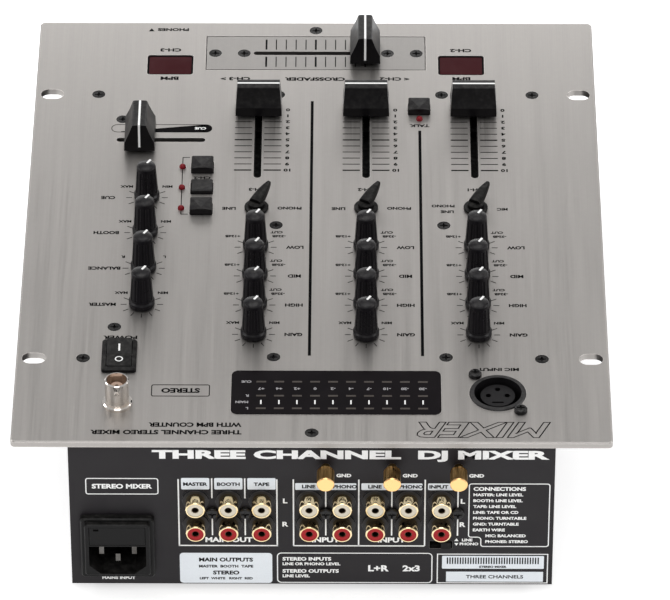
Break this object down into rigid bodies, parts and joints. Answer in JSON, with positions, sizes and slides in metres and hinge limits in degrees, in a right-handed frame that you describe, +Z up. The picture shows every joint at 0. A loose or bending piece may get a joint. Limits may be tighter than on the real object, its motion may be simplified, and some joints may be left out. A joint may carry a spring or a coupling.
{
  "type": "dj mixer",
  "caption": "Table-top disc-jockey mixer: brushed metal face plate with faders, fluted knobs, meter window and sockets over a black steel box.",
  "frame": {"origin": "middle of the footprint, on the surface that the feet stand on", "axes": "+X to the user's right, +Y to the connectors at the back, +Z up"},
  "size_m": [0.254, 0.315, 0.104],
  "materials": {
    "brushed_face": "brushed, clear-anodised, fine bevelled edge",
    "black_steel": "satin black powder coat",
    "foot_rubber": "matt",
    "black_screw": "blackened steel",
    "brass_post": "plain",
    "earth_nut": "gilt, knurled",
    "green_board": "solder-masked laminate",
    "control_metal": "zinc-plated",
    "switch_black": "moulded",
    "supply_grey": "varnished laminations and parts",
    "dark_window": "polished black",
    "red_lens": "dark red, translucent",
    "socket_black": "black chromed die-casting",
    "nickel": "nickel-plated",
    "insert_black": "moulded",
    "gilt_ring": "pale gilt plating",
    "phono_core": "white above, red below",
    "inlet_black": "fine-textured moulding",
    "rocker_black": "satin moulding",
    "knob_black": "semi-matt moulding",
    "cap_black": "semi-matt moulding"
  },
  "bodies": {
    "root": {"chassis_tub": "black_steel", "countersunk_screws": "black_screw", "crossfader_plate": "brushed_face", "display_modules": "switch_black", "fader_cases": "control_metal", "headphone_socket": "insert_black", "indicator_lenses": "red_lens", "lamp_socket_shell": "nickel", "main_board": "green_board", "mains_inlet": "inlet_black", "mains_pins": "nickel", "meter_window": "dark_window", "mic_socket_shell": "socket_black", "pan_head_screws": "black_screw", "phono_blocks": "insert_black", "phono_inserts": "phono_core", "phono_rings": "gilt_ring", "power_supply": "supply_grey", "power_switch_frame": "inlet_black", "rear_panel": "black_steel", "rotary_control_bodies": "control_metal", "rubber_feet": "foot_rubber", "socket_inserts": "insert_black", "switch_bodies": "switch_black", "threaded_posts": "brass_post", "top_panel": "brushed_face"},
    "low_knob_1": {"low_knob_1": "knob_black"},
    "low_knob_2": {"low_knob_2": "knob_black"},
    "low_knob_3": {"low_knob_3": "knob_black"},
    "mid_knob_1": {"mid_knob_1": "knob_black"},
    "mid_knob_2": {"mid_knob_2": "knob_black"},
    "mid_knob_3": {"mid_knob_3": "knob_black"},
    "high_knob_1": {"high_knob_1": "knob_black"},
    "high_knob_2": {"high_knob_2": "knob_black"},
    "high_knob_3": {"high_knob_3": "knob_black"},
    "gain_knob_1": {"gain_knob_1": "knob_black"},
    "gain_knob_2": {"gain_knob_2": "knob_black"},
    "gain_knob_3": {"gain_knob_3": "knob_black"},
    "phones_knob": {"phones_knob": "knob_black"},
    "booth_knob": {"booth_knob": "knob_black"},
    "balance_knob": {"balance_knob": "knob_black"},
    "master_knob": {"master_knob": "knob_black"},
    "input_lever_1": {"input_lever_1": "knob_black"},
    "channel_fader_1": {"channel_fader_1": "cap_black"},
    "input_lever_2": {"input_lever_2": "knob_black"},
    "channel_fader_2": {"channel_fader_2": "cap_black"},
    "input_lever_3": {"input_lever_3": "knob_black"},
    "channel_fader_3": {"channel_fader_3": "cap_black"},
    "crossfader": {"crossfader": "cap_black"},
    "cue_fader": {"cue_fader": "cap_black"},
    "cue_button_1": {"cue_button_1": "cap_black"},
    "cue_button_2": {"cue_button_2": "cap_black"},
    "cue_button_3": {"cue_button_3": "cap_black"},
    "talk_button": {"talk_button": "cap_black"},
    "power_rocker": {"power_rocker": "rocker_black"},
    "phono_line_slider": {"phono_line_slider": "rocker_black"},
    "fuse_drawer": {"fuse_drawer": "inlet_black"},
    "ground_nut_1": {"ground_nut_1": "earth_nut"},
    "ground_nut_2": {"ground_nut_2": "earth_nut"},
    "ground_nut_3": {"ground_nut_3": "earth_nut"}
  },
  "joints": [
    {"name": "low_knob_1_turn", "type": "hinge", "parent": "root", "child": "low_knob_1", "pos_m": [-0.0715, 0.0128, 0.0853], "axis": [0, 0, -1], "range_deg": [0, 300]},
    {"name": "low_knob_2_turn", "type": "hinge", "parent": "root", "child": "low_knob_2", "pos_m": [-0.023, 0.0128, 0.0853], "axis": [0, 0, -1], "range_deg": [0, 300]},
    {"name": "low_knob_3_turn", "type": "hinge", "parent": "root", "child": "low_knob_3", "pos_m": [0.0255, 0.0128, 0.0853], "axis": [0, 0, -1], "range_deg": [0, 300]},
    {"name": "mid_knob_1_turn", "type": "hinge", "parent": "root", "child": "mid_knob_1", "pos_m": [-0.0715, 0.03335, 0.0853], "axis": [0, 0, -1], "range_deg": [0, 300]},
    {"name": "mid_knob_2_turn", "type": "hinge", "parent": "root", "child": "mid_knob_2", "pos_m": [-0.023, 0.03335, 0.0853], "axis": [0, 0, -1], "range_deg": [0, 300]},
    {"name": "mid_knob_3_turn", "type": "hinge", "parent": "root", "child": "mid_knob_3", "pos_m": [0.0255, 0.03335, 0.0853], "axis": [0, 0, -1], "range_deg": [0, 300]},
    {"name": "high_knob_1_turn", "type": "hinge", "parent": "root", "child": "high_knob_1", "pos_m": [-0.0715, 0.0539, 0.0853], "axis": [0, 0, -1], "range_deg": [0, 300]},
    {"name": "high_knob_2_turn", "type": "hinge", "parent": "root", "child": "high_knob_2", "pos_m": [-0.023, 0.0539, 0.0853], "axis": [0, 0, -1], "range_deg": [0, 300]},
    {"name": "high_knob_3_turn", "type": "hinge", "parent": "root", "child": "high_knob_3", "pos_m": [0.0255, 0.0539, 0.0853], "axis": [0, 0, -1], "range_deg": [0, 300]},
    {"name": "gain_knob_1_turn", "type": "hinge", "parent": "root", "child": "gain_knob_1", "pos_m": [-0.0715, 0.07445, 0.0853], "axis": [0, 0, -1], "range_deg": [0, 300]},
    {"name": "gain_knob_2_turn", "type": "hinge", "parent": "root", "child": "gain_knob_2", "pos_m": [-0.023, 0.07445, 0.0853], "axis": [0, 0, -1], "range_deg": [0, 300]},
    {"name": "gain_knob_3_turn", "type": "hinge", "parent": "root", "child": "gain_knob_3", "pos_m": [0.0255, 0.07445, 0.0853], "axis": [0, 0, -1], "range_deg": [0, 300]},
    {"name": "phones_knob_turn", "type": "hinge", "parent": "root", "child": "phones_knob", "pos_m": [0.0742, -0.02315, 0.0853], "axis": [0, 0, -1], "range_deg": [0, 300]},
    {"name": "booth_knob_turn", "type": "hinge", "parent": "root", "child": "booth_knob", "pos_m": [0.0742, 0.00245, 0.0853], "axis": [0, 0, -1], "range_deg": [0, 300]},
    {"name": "balance_knob_turn", "type": "hinge", "parent": "root", "child": "balance_knob", "pos_m": [0.0742, 0.02805, 0.0853], "axis": [0, 0, -1], "range_deg": [0, 300]},
    {"name": "master_knob_turn", "type": "hinge", "parent": "root", "child": "master_knob", "pos_m": [0.0742, 0.05365, 0.0853], "axis": [0, 0, -1], "range_deg": [0, 300]},
    {"name": "input_lever_1_turn", "type": "hinge", "parent": "root", "child": "input_lever_1", "pos_m": [-0.0715, -0.0157, 0.0853], "axis": [0, 0, 1], "range_deg": [0, 60]},
    {"name": "channel_fader_1_slide", "type": "slide", "parent": "root", "child": "channel_fader_1", "axis": [0, 1, 0], "range_m": [0, 0.0455]},
    {"name": "input_lever_2_turn", "type": "hinge", "parent": "root", "child": "input_lever_2", "pos_m": [-0.023, -0.0157, 0.0853], "axis": [0, 0, 1], "range_deg": [0, 60]},
    {"name": "channel_fader_2_slide", "type": "slide", "parent": "root", "child": "channel_fader_2", "axis": [0, 1, 0], "range_m": [0, 0.0455]},
    {"name": "input_lever_3_turn", "type": "hinge", "parent": "root", "child": "input_lever_3", "pos_m": [0.0255, -0.0157, 0.0853], "axis": [0, 0, 1], "range_deg": [0, 60]},
    {"name": "channel_fader_3_slide", "type": "slide", "parent": "root", "child": "channel_fader_3", "axis": [0, 1, 0], "range_m": [0, 0.0455]},
    {"name": "crossfader_slide", "type": "slide", "parent": "root", "child": "crossfader", "axis": [1, 0, 0], "range_m": [0, 0.0452]},
    {"name": "cue_fader_slide", "type": "slide", "parent": "root", "child": "cue_fader", "axis": [1, 0, 0], "range_m": [-0.02435, 0.00565]},
    {"name": "cue_button_1_push", "type": "slide", "parent": "root", "child": "cue_button_1", "axis": [0, 0, -1], "range_m": [0, 0.0015], "stiffness_N_per_m": 400, "springref_m": -0.0005},
    {"name": "cue_button_2_push", "type": "slide", "parent": "root", "child": "cue_button_2", "axis": [0, 0, -1], "range_m": [0, 0.0015], "stiffness_N_per_m": 400, "springref_m": -0.0005},
    {"name": "cue_button_3_push", "type": "slide", "parent": "root", "child": "cue_button_3", "axis": [0, 0, -1], "range_m": [0, 0.0015], "stiffness_N_per_m": 400, "springref_m": -0.0005},
    {"name": "talk_button_push", "type": "slide", "parent": "root", "child": "talk_button", "axis": [0, 0, -1], "range_m": [0, 0.0015], "stiffness_N_per_m": 400, "springref_m": -0.0005},
    {"name": "power_rocker_tilt", "type": "hinge", "parent": "root", "child": "power_rocker", "pos_m": [0.0828, 0.0905, 0.0862], "axis": [1, 0, 0], "range_deg": [0, 20]},
    {"name": "phono_line_slide", "type": "slide", "parent": "root", "child": "phono_line_slider", "axis": [1, 0, 0], "range_m": [0, 0.004]},
    {"name": "fuse_drawer_slide", "type": "slide", "parent": "root", "child": "fuse_drawer", "axis": [0, 1, 0], "range_m": [0, 0.014]},
    {"name": "ground_nut_1_turn", "type": "hinge", "parent": "root", "child": "ground_nut_1", "pos_m": [-0.00592, 0.1515, 0.0701], "axis": [0, 1, 0], "range_deg": [0, 720]},
    {"name": "ground_nut_2_turn", "type": "hinge", "parent": "root", "child": "ground_nut_2", "pos_m": [-0.03402, 0.1515, 0.0701], "axis": [0, 1, 0], "range_deg": [0, 720]},
    {"name": "ground_nut_3_turn", "type": "hinge", "parent": "root", "child": "ground_nut_3", "pos_m": [-0.06212, 0.1515, 0.0701], "axis": [0, 1, 0], "range_deg": [0, 720]}
  ]
}
